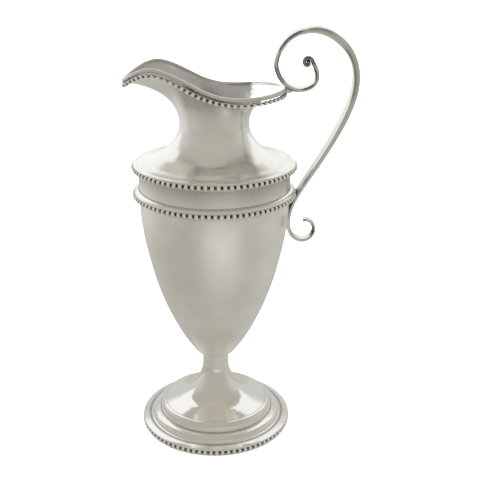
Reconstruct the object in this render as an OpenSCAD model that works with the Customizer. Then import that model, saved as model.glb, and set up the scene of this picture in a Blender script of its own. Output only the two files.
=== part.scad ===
// Silver water pitcher: a helmet-lipped ewer on a stepped pedestal foot.
// Origin: middle of the foot's underside. +Z up, spout towards -X, handle towards +X.

/* [Sheet and beads] */
// Thickness of the raised sheet
wall = 1.0; // [0.9:0.1:1.3]
// Radius of one bead on the foot and the girdles
bead_r = 1.8; // [1.5:0.05:1.85]
// Radius of one bead under the rim
rim_bead_r = 1.75; // [1.5:0.05:1.8]

/* [Foot] */
// Radius of the circle through the foot's beads
foot_bead_circle = 59; // [58:0.5:60]
// Number of beads round the foot
foot_beads = 82; // [70:1:84]
// Radius of the stem at its waist
stem_r = 10.4; // [9.8:0.1:11]

/* [Bowl] */
// Radius of the bowl where it meets the plain band
bowl_r = 57.4; // [56.5:0.1:58]
// Height of the joint between stem and bowl
bowl_base_z = 60.2; // [58:0.2:62]
// Height of the top edge of the bowl
bowl_top_z = 200; // [198:0.5:202]
// Height of the plain band between the two girdles
band_h = 16; // [14:0.5:20]

/* [Girdles] */
// Number of beads on the lower girdle
lower_beads = 86; // [70:1:88]
// Number of beads on the upper girdle
upper_beads = 84; // [70:1:88]

/* [Neck and lip] */
// Outside radius of the neck at its waist
neck_r = 26; // [24:0.5:28]
// Height of the joint between neck and lip
neck_top_z = 250; // [248:0.5:252]
// Depth of the plain band that edges the rim
rim_band_h = 4; // [3:0.25:4.5]
// Thickness of that band
rim_band_t = 1; // [0.8:0.1:1.4]
// Number of beads under the rim
rim_beads = 68; // [50:1:72]

/* [Handle] */
// Width of the strap at its broadest
strap_w = 16; // [12:0.5:18]
// Thickness of the strap at its thickest
strap_t = 5.5; // [4.6:0.1:5.7]

/* [Hidden] */
$fn = 96;

silver = [0.80, 0.79, 0.76];
bright_silver = [0.88, 0.88, 0.86];
shaded_silver = [0.66, 0.65, 0.61];

// The strip behind a row of beads stands this far behind the bead circle.
strip_back = bead_r + 0.05;
strip_front = 0.75;
strip_half_h = 1.15;

// Foot, from the table up
foot_bead_z = 2.6;
foot_wall_r = foot_bead_circle - strip_back - 0.15;
flange_z = foot_bead_z + bead_r + 0.05;
dome_r = 41.2;
dome_z = 18.9;

// Girdles
lower_bead_circle = bowl_r + 3.35;
lower_bead_z = bowl_top_z - 2.8;
band_top_z = bowl_top_z + band_h;
upper_bead_circle = bowl_r + 3.7;
upper_bead_z = band_top_z + 2.5;
ledge_z = upper_bead_z + 1.4;
shoulder_r = bowl_r + 1.2;

// ---------- curves ----------

// One point of a Catmull-Rom curve between b and c.
function blend_point(a, b, c, d, t) =
    0.5 * (2 * b + (c - a) * t + (2 * a - 5 * b + 4 * c - d) * t * t
        + (3 * b - a - 3 * c + d) * t * t * t);

// An open smooth curve through the points p, with n steps between neighbours.
function smooth(p, n) =
    let (last = len(p) - 1)
    concat(
        [for (i = [0 : last - 1], k = [0 : n - 1])
            blend_point(p[max(i - 1, 0)], p[i], p[i + 1], p[min(i + 2, last)], k / n)],
        [p[last]]
    );

// A closed smooth curve through the points p, with n steps between neighbours.
function smooth_loop(p, n) =
    let (m = len(p))
    [for (i = [0 : m - 1], k = [0 : n - 1])
        blend_point(p[(i + m - 1) % m], p[i], p[(i + 1) % m], p[(i + 2) % m], k / n)];

function unit(v) = v / norm(v);
function flip(p) = [for (i = [len(p) - 1 : -1 : 0]) p[i]];

// The curve p moved sideways by d, to the left of its direction.
function shifted(p, d) =
    let (last = len(p) - 1)
    [for (i = [0 : last])
        let (t = unit(p[min(i + 1, last)] - p[max(i - 1, 0)]))
        p[i] + d * [-t.y, t.x]];

// A spun shell: an outer side and an inner side, both from bottom to top.
module spun(outer, inner) {
    rotate_extrude() polygon(concat(outer, flip(inner)));
}

// ---------- beading ----------

// A row of beads on a strip, in a circle of radius r at height z.
module bead_circle(r, z, count) {
    translate([0, 0, z])
    union() {
        rotate_extrude()
            translate([r - strip_back, -strip_half_h])
            square([strip_back - strip_front, 2 * strip_half_h]);
        for (i = [0 : count - 1])
            rotate(i * 360 / count) translate([r, 0, 0]) sphere(bead_r, $fn = 24);
    }
}

// ---------- foot ----------

module foot_ring() {
    color(shaded_silver)
    rotate_extrude()
    polygon([
        [foot_wall_r - 1.4, 0], [foot_bead_circle + 0.4, 0],
        [foot_bead_circle + 0.6, 0.2], [foot_bead_circle + 0.6, 0.55],
        [foot_bead_circle + 0.4, 0.75], [foot_wall_r, 0.75],
        [foot_wall_r, flange_z], [foot_wall_r - 1.4, flange_z]
    ]);
}

module foot_beading() {
    color(bright_silver)
    bead_circle(foot_bead_circle, foot_bead_z, foot_beads);
}

module foot_plate() {
    edge_r = foot_bead_circle + 1.3;
    base_r = foot_wall_r - 1.4;
    outer = concat(
        [[edge_r, flange_z], [edge_r + 0.1, flange_z + 0.5], [edge_r - 0.3, flange_z + 1.0],
            [edge_r - 1.8, flange_z + 1.35], [55.4, flange_z + 1.9]],
        smooth([[52.4, 6.9], [52.0, 8.7], [50.7, 10.4], [48.6, 11.3], [46.2, 11.5]], 3),
        smooth([[45.5, 11.8], [45.2, 14.4], [44.4, 17.0], [43.0, 18.5], [dome_r, dome_z]], 3)
    );
    inner = [
        [base_r, flange_z], [53.4, 5.2], [51.2, 5.8], [50.8, 7.8], [49.8, 9.3],
        [48.2, 10.1], [44.5, 10.3], [44.0, 13.9], [43.3, 16.2], [42.4, 17.3], [dome_r, dome_z - wall]
    ];
    color(silver) spun(outer, inner);
}

// Trumpet-shaped dome that rises from the stepped plate to the stem.
module pedestal() {
    outer = smooth([
        [dome_r, dome_z], [36, 20.7], [30, 23.2], [24.5, 26.3], [19.6, 30.3], [15.6, 35.4],
        [12.8, 41], [stem_r + 0.6, 46.5], [stem_r, 52], [stem_r, bowl_base_z - 3],
        [stem_r + 0.3, bowl_base_z]
    ], 3);
    side = shifted(outer, wall);
    last = len(outer) - 1;
    inner = concat(
        [[dome_r, dome_z - wall]],
        [for (i = [1 : last - 1]) side[i]],
        [[outer[last].x - wall, bowl_base_z]]
    );
    color(silver) spun(outer, inner);
}

// ---------- bowl and band ----------

// Side of the bowl, as shares of its radius and of its height.
bowl_side = [
    [0.190, 0], [0.232, 0.010], [0.289, 0.035], [0.376, 0.085], [0.462, 0.142], [0.554, 0.213],
    [0.650, 0.299], [0.739, 0.392], [0.821, 0.499], [0.890, 0.614], [0.941, 0.714],
    [0.975, 0.814], [0.995, 0.907], [1, 1]
];

bowl_outline = smooth(
    [for (p = bowl_side) [p.x * bowl_r, bowl_base_z + p.y * (bowl_top_z - bowl_base_z)]], 3);

module bowl() {
    side = shifted(bowl_outline, wall);
    last = len(bowl_outline) - 1;
    floor_z = bowl_base_z + 2.2;
    inner = concat(
        [[0, floor_z]],
        [for (i = [6 : last - 1]) side[i]],
        [[bowl_r - wall, bowl_top_z]]
    );
    color(silver) spun(concat([[0, bowl_base_z]], bowl_outline), inner);
}

module plain_band() {
    color(silver)
    translate([0, 0, bowl_top_z])
    difference() {
        cylinder(h = band_h, r = bowl_r);
        translate([0, 0, -1]) cylinder(h = band_h + 2, r = bowl_r - wall);
    }
}

// ---------- girdles ----------

// Moulding that covers the joint of bowl and band, with a groove for its beads.
module lower_girdle() {
    groove_r = lower_bead_circle - strip_back - 0.05;
    low = lower_bead_z - bead_r - 0.05;
    high = lower_bead_z + bead_r + 0.05;
    crown = smooth([
        [lower_bead_circle, high], [lower_bead_circle - 0.2, high + 0.7],
        [lower_bead_circle - 0.9, high + 1.5], [lower_bead_circle - 2.0, high + 2.3],
        [bowl_r, high + 3.0]
    ], 3);
    color(silver)
    rotate_extrude()
    polygon(concat(
        [[bowl_r, low - 1.1], [groove_r + 0.3, low - 1.1], [groove_r + 0.7, low - 0.8],
            [groove_r + 0.7, low - 0.25], [groove_r + 0.4, low], [groove_r, low], [groove_r, high]],
        crown
    ));
}

module lower_beading() {
    color(bright_silver)
    bead_circle(lower_bead_circle, lower_bead_z, lower_beads);
}

// Ring on top of the band: a groove for its beads, a ledge for the shoulder.
module upper_girdle() {
    groove_r = upper_bead_circle - strip_back - 0.05;
    low = upper_bead_z - bead_r - 0.05;
    high = upper_bead_z + bead_r + 0.05;
    lip_top = smooth([
        [upper_bead_circle + 0.2, high], [upper_bead_circle + 0.1, high + 0.5],
        [upper_bead_circle - 0.7, high + 1.0], [shoulder_r, high + 1.3]
    ], 3);
    color(silver)
    rotate_extrude()
    polygon(concat(
        [[bowl_r - wall, band_top_z], [bowl_r, band_top_z], [bowl_r, low - 1.7],
            [bowl_r + 0.9, low - 1.7], [bowl_r + 1.5, low - 1.2], [groove_r + 0.6, low - 0.4],
            [groove_r + 0.6, low - 0.1], [groove_r, low], [groove_r, high]],
        lip_top,
        [[shoulder_r, ledge_z], [bowl_r - wall, ledge_z]]
    ));
}

module upper_beading() {
    color(bright_silver)
    bead_circle(upper_bead_circle, upper_bead_z, upper_beads);
}

// ---------- shoulder and neck ----------

module shoulder() {
    outer = concat(
        [[shoulder_r, ledge_z]],
        smooth([
            [shoulder_r, 221.6], [55.6, 222.7], [51, 223.9], [46, 225.9], [41, 228.4],
            [36.6, 231.5], [32.7, 235.2], [neck_r + 3.4, 239.8], [neck_r + 1.1, 244.8],
            [neck_r, neck_top_z]
        ], 3)
    );
    side = shifted(outer, wall);
    last = len(outer) - 1;
    inner = concat(
        [[bowl_r - wall, ledge_z]],
        [for (i = [4 : last - 1]) side[i]],
        [[neck_r - wall, neck_top_z]]
    );
    color(silver) spun(outer, inner);
}

// ---------- rim and lip ----------

// Half of the rim's upper edge, from the spout's tip to the back: x, half width, height.
rim_half = [
    [-66.4, 0, 283.4], [-64.2, 6.2, 284.9], [-58.5, 13, 289.0], [-50.5, 19, 292.8],
    [-42, 22.6, 294.0], [-32, 24.1, 291.3], [-20, 24.2, 285.9], [-8, 25.4, 279.9],
    [4, 28.6, 276.1], [16, 31.2, 275.0], [27.5, 30.8, 275.4], [38.5, 25.6, 276.2],
    [47, 16.6, 277.0], [51.2, 7.5, 277.3], [52.2, 0, 277.3]
];
half_steps = len(rim_half) - 1;
rim_keys = concat(
    rim_half,
    [for (i = [half_steps - 1 : -1 : 1]) [rim_half[i].x, -rim_half[i].y, rim_half[i].z]]
);
rim = smooth_loop(rim_keys, 4);
rim_n = len(rim);

// Outward direction of the rim's plan at point i.
function rim_out(i) =
    let (t = rim[(i + 1) % rim_n] - rim[(i + rim_n - 1) % rim_n])
    unit([-t.y, t.x]);

function plan(i) = [rim[i].x, rim[i].y];

lip_rows = 9;

// Side of the lip below rim point i, in the upright plane through the axis:
// straight up off the neck, then swept out to the foot of the rim's band.
function lip_side(i) =
    let (
        reach = norm(plan(i)),
        top = rim[i].z - rim_band_h,
        rise = top - neck_top_z,
        a = [neck_r, neck_top_z],
        b = [neck_r, neck_top_z + 0.5 * rise],
        c = [neck_r + 0.33 * (reach - neck_r), top - 0.1 * rise],
        d = [reach, top]
    )
    [for (k = [0 : lip_rows])
        let (t = k / lip_rows, s = 1 - t)
        s * s * s * a + 3 * s * s * t * b + 3 * s * t * t * c + t * t * t * d];

function in_space(i, p) =
    let (u = unit(plan(i)))
    [p.x * u.x, p.x * u.y, p.y];

lip_outside = [for (i = [0 : rim_n - 1]) [for (p = lip_side(i)) in_space(i, p)]];

// Outward direction of the lip's outside at station i, row k.
function lip_out(i, k) =
    let (
        along = lip_outside[(i + rim_n - 1) % rim_n][k] - lip_outside[(i + 1) % rim_n][k],
        up = lip_outside[i][min(k + 1, lip_rows)] - lip_outside[i][max(k - 1, 0)]
    )
    unit(cross(along, up));

lip_inside = [for (i = [0 : rim_n - 1]) [for (k = [0 : lip_rows])
    let (
        flat = unit([plan(i).x, plan(i).y, 0]),
        edge = [rim_out(i).x, rim_out(i).y, 0],
        n = k == 0 ? flat : lip_out(i, k)
    )
    k == lip_rows
        ? lip_outside[i][k] - wall * unit(n + edge) + [0, 0, 0.35 * wall]
        : lip_outside[i][k] - wall * n]];

// Faces of a ring of equal closed sections; every section lists its points in the same order.
function ring_faces(n, m) = [
    for (i = [0 : n - 1], k = [0 : m - 1])
        let (j = (i + 1) % n, l = (k + 1) % m)
        each [[i * m + k, j * m + k, j * m + l], [i * m + k, j * m + l, i * m + l]]
];

module ring_of_sections(sections) {
    polyhedron(points = [for (s = sections) each s],
        faces = ring_faces(len(sections), len(sections[0])), convexity = 6);
}

module lip() {
    color(silver)
    ring_of_sections([for (i = [0 : rim_n - 1])
        let (o = rim_out(i), edge = rim[i] - wall * [o.x, o.y, 0])
        concat(
            lip_outside[i],
            [rim[i] - [0, 0, 0.3], rim[i] - 0.3 * [o.x, o.y, 0], edge],
            flip(lip_inside[i])
        )]);
}

module rim_band() {
    t = rim_band_t;
    h = rim_band_h;
    section = [[0, -h], [t - 0.25, -h], [t, 0.25 - h], [t, -0.35], [t - 0.3, 0], [0, 0]];
    color(bright_silver)
    ring_of_sections([for (i = [0 : rim_n - 1])
        [for (q = section) rim[i] + [q.x * rim_out(i).x, q.x * rim_out(i).y, q.y]]]);
}

// Extra drop of the beads below the band, in the hollow behind the spout.
function bead_drop(x) = 1.6 * exp(-pow((x + 15) / 15, 2));

// Centre of a bead hung under rim point i: a little down the lip's side, and just off it.
function bead_seat(i) =
    let (
        p = flip(lip_side(i)),
        away = rim_bead_r + 0.15 + bead_drop(rim[i].x),
        run = [for (k = 0, s = 0; k <= lip_rows; k = k + 1, s = s + (k <= lip_rows
            ? norm(p[k] - p[k - 1]) : 0)) s],
        r = lookup(away, [for (k = [0 : lip_rows]) [run[k], p[k].x]]),
        z = lookup(away, [for (k = [0 : lip_rows]) [run[k], p[k].y]]),
        t = unit([r, z] - p[0])
    )
    in_space(i, [r, z] + (rim_bead_r + 0.02) * [-t.y, t.x]);

bead_path = [for (i = [0 : rim_n - 1]) bead_seat(i)];
bead_run = [for (i = 0, s = 0; i <= rim_n; i = i + 1, s = s + (i <= rim_n
    ? norm(bead_path[i % rim_n] - bead_path[i - 1]) : 0)) s];

function on_bead_path(s) = [for (axis = [0 : 2])
    lookup(s, [for (i = [0 : rim_n]) [bead_run[i], bead_path[i % rim_n][axis]]])];

// Stations along one bead, as shares of its radius, from link to link.
bead_steps = [-0.86, -0.5, 0, 0.5, 0.86];
bead_sides = 8;

// Section of the beaded wire at run s, with radius r.
function bead_section(s, r) =
    let (
        total = bead_run[rim_n],
        here = on_bead_path((s + total) % total),
        ahead = on_bead_path((s + 0.5) % total) - on_bead_path((s - 0.5 + total) % total),
        t = unit(ahead),
        level = unit(cross(t, [0, 0, 1])),
        upright = cross(level, t)
    )
    [for (k = [0 : bead_sides - 1])
        let (a = k * 360 / bead_sides)
        here + r * (cos(a) * level - sin(a) * upright)];

// One closed wire that swells into a bead at every step.
module rim_beading() {
    pitch = bead_run[rim_n] / rim_beads;
    color(bright_silver)
    ring_of_sections([for (i = [0 : rim_beads - 1], q = bead_steps)
        bead_section(i * pitch + q * rim_bead_r, rim_bead_r * sqrt(1 - q * q))]);
}

// ---------- handle ----------

// Centre line of the strap: x, z, share of full width, share of full thickness.
curl_x = 68;
curl_z = 295.2;
curl = [for (turn = [390 : -30 : 0])
    let (r = 1.3 + 2.7 * pow(1 - turn / 390, 1.15))
    [curl_x + r * cos(turn), curl_z + r * sin(turn), 0.5, 0.34 + 0.14 * (1 - turn / 390)]];
strap_line = concat(curl, [
    [73.9, 291.4, 0.62, 0.6], [75.1, 286.8, 0.68, 0.56], [74.3, 281.9, 0.78, 0.49],
    [71.0, 278.2, 0.82, 0.47], [65.8, 276.2, 0.84, 0.49], [60.2, 276.0, 0.85, 0.51],
    [54.6, 278.2, 0.86, 0.54], [50.0, 282.3, 0.88, 0.55], [46.7, 287.7, 0.9, 0.58],
    [45.1, 294.4, 0.92, 0.58], [46.4, 301.1, 0.94, 0.55], [49.7, 307.3, 0.96, 0.51],
    [54.5, 312.8, 0.98, 0.53], [60.6, 316.5, 1, 0.56], [67.5, 318.4, 1, 0.65],
    [75.1, 318.6, 1, 0.82], [83.4, 316.1, 1, 0.93], [91.0, 311.1, 1, 1],
    [97.7, 304.0, 1, 0.91], [102.1, 295.0, 1, 0.8], [103.6, 285.4, 1, 0.76],
    [103.1, 275.6, 1, 0.76], [100.5, 265.6, 1, 0.75], [96.3, 254.6, 1, 0.71],
    [90.2, 242.1, 0.98, 0.67], [83.3, 229.6, 0.94, 0.64], [75.8, 217.0, 0.88, 0.62],
    [68.1, 204.7, 0.8, 0.6], [61.8, 193.6, 0.73, 0.59], [58.1, 184.4, 0.66, 0.58],
    [56.5, 175.6, 0.62, 0.56], [57.2, 167.4, 0.58, 0.53], [60.7, 161.4, 0.53, 0.47],
    [67.0, 158.6, 0.5, 0.44], [73.3, 160.7, 0.48, 0.45], [76.6, 166.6, 0.46, 0.45],
    [74.9, 172.4, 0.45, 0.44], [71.1, 174.9, 0.44, 0.38], [67.8, 174.8, 0.43, 0.31]
]);

// Section of the strap across its run: flat faces with eased corners.
function strap_section(w, t) =
    let (a = w / 2, b = t / 2, e = min(0.28 * t, 0.9))
    [
        [a - e, b], [e - a, b], [-a, b - e], [-a, e - b],
        [e - a, -b], [a - e, -b], [a, e - b], [a, b - e]
    ];

module strap() {
    path = smooth(strap_line, 3);
    last = len(path) - 1;
    m = 8;
    points = [for (i = [0 : last])
        let (
            here = path[i],
            ahead = path[min(i + 1, last)] - path[max(i - 1, 0)],
            t = unit([ahead[0], ahead[1]]),
            across = [t.y, -t.x]
        )
        for (q = strap_section(here[2] * strap_w, here[3] * strap_t))
            [here[0] + q.y * across.x, q.x, here[1] + q.y * across.y]];
    faces = concat(
        [[for (k = [m - 1 : -1 : 0]) k]],
        [for (i = [0 : last - 1], k = [0 : m - 1])
            let (l = (k + 1) % m)
            each [[i * m + k, (i + 1) * m + l, (i + 1) * m + k],
                [i * m + k, i * m + l, (i + 1) * m + l]]],
        [[for (k = [0 : m - 1]) last * m + k]]
    );
    polyhedron(points = points, faces = faces, convexity = 10);
}

// The strap, filed to seat on the bowl and against the lower girdle.
module handle() {
    seat_r = lower_bead_circle + bead_r + 0.02;
    low = lower_bead_z - bead_r - 0.2;
    high = lower_bead_z + bead_r + 0.2;
    color(silver)
    difference() {
        strap();
        rotate_extrude()
        polygon(concat(
            [for (p = bowl_outline) if (p.y > 150 && p.y < low - 1.5) p],
            [[bowl_r, low - 1.2], [seat_r, low], [seat_r, high], [bowl_r + 1, high + 3],
                [40, high + 3], [40, 151]]
        ));
    }
}

// Small block that joins the strap's curl to the back of the rim.
module rim_lug() {
    back = rim_half[half_steps].x + rim_band_t;
    color(silver)
    difference() {
        rotate([90, 0, 0])
        linear_extrude(8, center = true)
        polygon([
            [back - 1.5, 273.7], [back + 1.8, 273.4], [back + 4.2, 274.2],
            [back + 4.6, 276.5], [back + 1.4, 278.4], [back - 0.2, 278.6], [back - 1.5, 277.2]
        ]);
        strap();
        translate([0, 0, 260])
        linear_extrude(30)
        polygon([for (i = [0 : rim_n - 1]) plan(i) + rim_band_t * rim_out(i)]);
    }
}

// ---------- assembly ----------

foot_ring();
foot_beading();
foot_plate();
pedestal();
bowl();
lower_girdle();
lower_beading();
plain_band();
upper_girdle();
upper_beading();
shoulder();
lip();
rim_band();
rim_beading();
handle();
rim_lug();
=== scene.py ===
"""Silver water pitcher: fine meshes, silver finishes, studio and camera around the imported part.

Metres, in the part's own frame: +Z up, spout towards -X, handle towards +X.
"""

import math

import bmesh
import bpy
import numpy as np
from mathutils import Matrix, Vector


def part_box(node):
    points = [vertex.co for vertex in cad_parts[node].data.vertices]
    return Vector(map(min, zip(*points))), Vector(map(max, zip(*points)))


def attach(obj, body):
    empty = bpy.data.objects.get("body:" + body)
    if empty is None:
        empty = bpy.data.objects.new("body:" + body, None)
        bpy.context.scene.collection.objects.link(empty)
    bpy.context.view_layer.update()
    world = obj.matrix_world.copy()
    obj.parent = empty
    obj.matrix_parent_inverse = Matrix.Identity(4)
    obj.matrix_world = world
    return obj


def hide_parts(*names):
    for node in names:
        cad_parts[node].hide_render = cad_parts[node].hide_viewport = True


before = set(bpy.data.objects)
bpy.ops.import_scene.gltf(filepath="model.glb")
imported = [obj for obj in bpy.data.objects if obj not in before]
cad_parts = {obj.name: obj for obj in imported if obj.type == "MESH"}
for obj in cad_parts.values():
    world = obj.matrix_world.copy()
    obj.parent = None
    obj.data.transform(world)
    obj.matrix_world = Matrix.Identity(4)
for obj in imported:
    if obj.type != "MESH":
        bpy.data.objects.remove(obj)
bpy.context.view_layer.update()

MM = 0.001
ROUND_STEPS = 224            # segments round a spun piece
CORNER = 0.22 * MM           # easing of a spun piece's edges
EASE_SHARE, HOLD_SHARE = 0.3, 0.2    # most of a short run that its easing, and the ring beside it, may take
ROUND_AT = (0.3, 0.7)        # where the two rings of an eased edge stand along its curve
JOINT_RING = 0.06 * MM
SAMPLE = 1.5 * MM            # longest stretch of outline between two rings
CORNER_TURN = math.radians(26)
BEND_STEP = math.radians(5)  # most that an outline turns between two rings
MERGE = 0.05 * MM            # points of an outline closer than this are one
SAME_HEIGHT = 0.01 * MM
SHARP = math.radians(48)     # faces that meet at more than this are shaded apart
rng = np.random.default_rng(7)


# ---------- curves ----------

def catmull(points, steps, closed=False):
    """A Catmull-Rom curve through the points, with so many steps between neighbours."""
    p = np.asarray(points, float)
    count = len(p)
    first = np.arange(count if closed else count - 1)
    pick = (lambda i: i % count) if closed else (lambda i: np.clip(i, 0, count - 1))
    a, b, c, d = (p[pick(first + k)][:, None, :] for k in (-1, 0, 1, 2))
    t = (np.arange(steps) / steps)[None, :, None]
    curve = 0.5 * (2 * b + (c - a) * t + (2 * a - 5 * b + 4 * c - d) * t ** 2
                   + (3 * b - a - 3 * c + d) * t ** 3)
    curve = curve.reshape(-1, p.shape[1])
    return curve if closed else np.vstack([curve, p[-1:]])


def unit(v):
    """The same directions with length 1."""
    return v / np.maximum(np.linalg.norm(v, axis=-1, keepdims=True), 1e-12)


def run_of(line):
    """Distance along a line at each of its points."""
    return np.concatenate([[0], np.cumsum(np.linalg.norm(np.diff(line, axis=0), axis=1))])


def evenly(line, count):
    """So many points at equal distances along a closed line; further columns are carried along."""
    loop = np.vstack([line, line[:1]])
    run = run_of(loop[:, :3])
    at = np.arange(count) * run[-1] / count
    return np.column_stack([np.interp(at, run, loop[:, k]) for k in range(loop.shape[1])])


# ---------- meshes ----------

def piece(name, points, faces, material, replaces, tarnish_and_shade=None, face_slots=None):
    """A finished mesh piece that rides on the body and stands for its CAD nodes."""
    mesh = bpy.data.meshes.new(name)
    mesh.from_pydata([tuple(p) for p in points], [], faces)
    for m in material if isinstance(material, (list, tuple)) else [material]:
        mesh.materials.append(m)
    if face_slots is not None:
        mesh.polygons.foreach_set("material_index", face_slots)
    # Per point, the tarnish and painted shade that the silver's shader darkens by
    shade = mesh.attributes.new("tarnish_and_shade", "FLOAT", "POINT")
    shade.data.foreach_set("value", np.zeros(len(points)) if tarnish_and_shade is None else tarnish_and_shade)
    mesh.shade_smooth()
    tidy = bmesh.new()
    tidy.from_mesh(mesh)
    bmesh.ops.recalc_face_normals(tidy, faces=tidy.faces)
    for e in tidy.edges:
        e.smooth = len(e.link_faces) == 2 and e.calc_face_angle() < SHARP
    tidy.to_mesh(mesh)
    tidy.free()
    obj = bpy.data.objects.new(name, mesh)
    bpy.context.scene.collection.objects.link(obj)
    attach(obj, "root")
    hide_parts(replaces)
    return obj


def loop_faces(rings, sides, close_rings=True):
    """Quads over a grid of rings by sides, numbered ring by ring; the sides go all the way round."""
    faces = []
    for i in range(rings if close_rings else rings - 1):
        j = (i + 1) % rings
        for k in range(sides):
            m = (k + 1) % sides
            faces.append((i * sides + k, j * sides + k, j * sides + m, i * sides + m))
    return faces


# ---------- spun pieces, read from the frame ----------

def ring_key(v):
    """Distance from the axis and height of a mesh's vertex, rounded to 0.01 mm."""
    return round(math.hypot(v.co.x, v.co.y), 5), round(v.co.z, 5)


def linked_rings(mesh):
    """The rings (r, z) of a spun mesh, and for each ring the rings that edges join it to."""
    rings, ring_at = [], {}
    for key in map(ring_key, mesh.vertices):
        if key not in ring_at:
            near = [i for i, ring in enumerate(rings) if math.dist(ring, key) < MERGE]
            if not near:
                near = [len(rings)]
                rings.append(key)
            ring_at[key] = near[0]
    of_vertex = [ring_at[ring_key(v)] for v in mesh.vertices]
    links = {i: set() for i in range(len(rings))}
    for e in mesh.edges:
        a, b = (of_vertex[v] for v in e.vertices)
        if a != b:
            links[a].add(b)
            links[b].add(a)
    return rings, links


def rings_of(node):
    """Outline (r, z) of a spun CAD node, from the rings of its mesh; and whether it closes on itself."""
    rings, links = linked_rings(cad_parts[node].data)
    ends = [i for i in links if len(links[i]) == 1]
    walk = [ends[0] if ends else 0]
    while True:
        onward = [i for i in links[walk[-1]] if i not in walk]
        if not onward:
            break
        walk.append(min(onward))
    outline = np.array([rings[i] for i in walk])
    if ends:
        closing = [[0.0, outline[k][1]] for k in (0, -1) if outline[k][0] > MERGE]
        outline = np.vstack([outline, closing]) if closing else outline
    return outline, not ends


def faired(outline, closed, upright_z=None):
    """The outline as a fine line: runs between corners turned into smooth curves, and corners eased."""
    n = len(outline)
    if closed:
        back = unit(outline - np.roll(outline, 1, 0))
        on = unit(np.roll(outline, -1, 0) - outline)
        turn = np.arccos(np.clip((back * on).sum(1), -1, 1))
        corners = [i for i in range(n) if turn[i] > CORNER_TURN]
        outline = np.roll(outline, -corners[0], 0)
        corners = [i - corners[0] for i in corners] + [n]
        outline = np.vstack([outline, outline[:1]])
    else:
        step = unit(np.diff(outline, axis=0))
        turn = np.arccos(np.clip((step[:-1] * step[1:]).sum(1), -1, 1))
        corners = [0] + [i + 1 for i in range(n - 2) if turn[i] > CORNER_TURN] + [n - 1]
    runs = [fair_run(outline[a:b + 1], upright_z) for a, b in zip(corners, corners[1:])]
    return eased(runs, closed, upright_z)


def fair_run(points, upright_z):
    """One run as a Hermite curve through its points, with finer steps where it turns."""
    t = run_of(points)
    if len(points) == 2:
        return points
    slope = np.empty_like(points)
    slope[1:-1] = (points[2:] - points[:-2]) / (t[2:] - t[:-2])[:, None]
    slope[0] = 2 * (points[1] - points[0]) / (t[1] - t[0]) - slope[1]
    slope[-1] = 2 * (points[-1] - points[-2]) / (t[-1] - t[-2]) - slope[-2]
    if upright_z is not None:
        for k in (0, -1):
            if abs(points[k][1] - upright_z) < SAME_HEIGHT:
                slope[k] = [0, math.copysign(1, slope[k][1])]
    out = []
    for i in range(len(points) - 1):
        gap = t[i + 1] - t[i]
        bend = math.acos(np.clip(unit(slope[i]) @ unit(slope[i + 1]), -1, 1))
        steps = max(1, math.ceil(gap / SAMPLE), math.ceil(bend / BEND_STEP))
        s = (np.arange(steps) / steps)[:, None]
        out.append((2 * s ** 3 - 3 * s ** 2 + 1) * points[i] + (s ** 3 - 2 * s ** 2 + s) * gap * slope[i]
                   + (3 * s ** 2 - 2 * s ** 3) * points[i + 1] + (s ** 3 - s ** 2) * gap * slope[i + 1])
    return np.vstack(out + [points[-1:]])


def trimmed(run, start, end):
    """A run cut short by these distances at its two ends, with a ring close to each cut."""
    t = run_of(run)
    hold = min(CORNER, HOLD_SHARE * t[-1])
    inner = t[(t > start + 1.5 * hold) & (t < t[-1] - end - 1.5 * hold)]
    at = [start] + ([start + hold] if start else []) + list(inner)
    at += ([t[-1] - end - hold] if end else []) + [t[-1] - end]
    return np.column_stack([np.interp(at, t, run[:, k]) for k in (0, 1)])


def eased(runs, closed, flush_z=None):
    """The runs joined by small round corners, except where they meet the next piece flush."""
    ease = [min(CORNER, EASE_SHARE * run_of(r)[-1]) for r in runs]
    count = len(runs)
    flush = [flush_z is not None and abs(r[-1][1] - flush_z) < SAME_HEIGHT for r in runs]
    out = []
    for i, run in enumerate(runs):
        first = not closed and i == 0
        final = not closed and i == count - 1
        start = 0 if first or flush[i - 1] else ease[i]
        end = 0 if final or flush[i] else ease[i]
        cut = trimmed(run, start, end)
        if flush[i]:
            cut = np.vstack([cut[:-1], near_joint(cut[-1], cut[-2]), cut[-1:]])
        if not first and flush[i - 1]:
            cut = np.vstack([near_joint(cut[0], cut[1]), cut[1:]])
        out.append(cut)
        if not final and not flush[i]:
            after = runs[(i + 1) % count]
            far = trimmed(after, ease[(i + 1) % count], 0)[0]
            for s in ROUND_AT:
                out.append([(1 - s) ** 2 * cut[-1] + 2 * s * (1 - s) * run[-1] + s ** 2 * far])
    return np.vstack(out)


def near_joint(end, before):
    """A ring just short of a run's end, so that its shading is true at the joint."""
    return (end + JOINT_RING * unit(before - end))[None]


def spun(name, node, material, upright_z=None):
    """A spun CAD node as a fine mesh, with tarnish and painted shade in its creases."""
    outline, closed = rings_of(node)
    line = faired(outline, closed, upright_z)
    steps = ROUND_STEPS
    # An open outline starts and ends on the axis, and each of those ends becomes one point.
    angle = np.arange(steps) * 2 * math.pi / steps
    axis_rings = [] if closed else [0, len(line) - 1]
    body = line if closed else line[1:-1]
    points = np.stack([np.outer(body[:, 0], np.cos(angle)), np.outer(body[:, 0], np.sin(angle)),
                       np.repeat(body[:, 1:], steps, 1)], axis=-1).reshape(-1, 3)
    faces = loop_faces(len(body), steps, close_rings=closed)
    shade = np.repeat([crease_shade(r, z) for r, z in body], steps)
    for k, start in zip(axis_rings, (0, (len(body) - 1) * steps)):
        points = np.vstack([points, [0, 0, line[k][1]]])
        shade = np.append(shade, 0)
        faces += [(start + j, start + (j + 1) % steps, len(points) - 1) for j in range(steps)]
    return piece(name, points, faces, material, node, shade)


# ---------- creases between the pieces ----------

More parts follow.
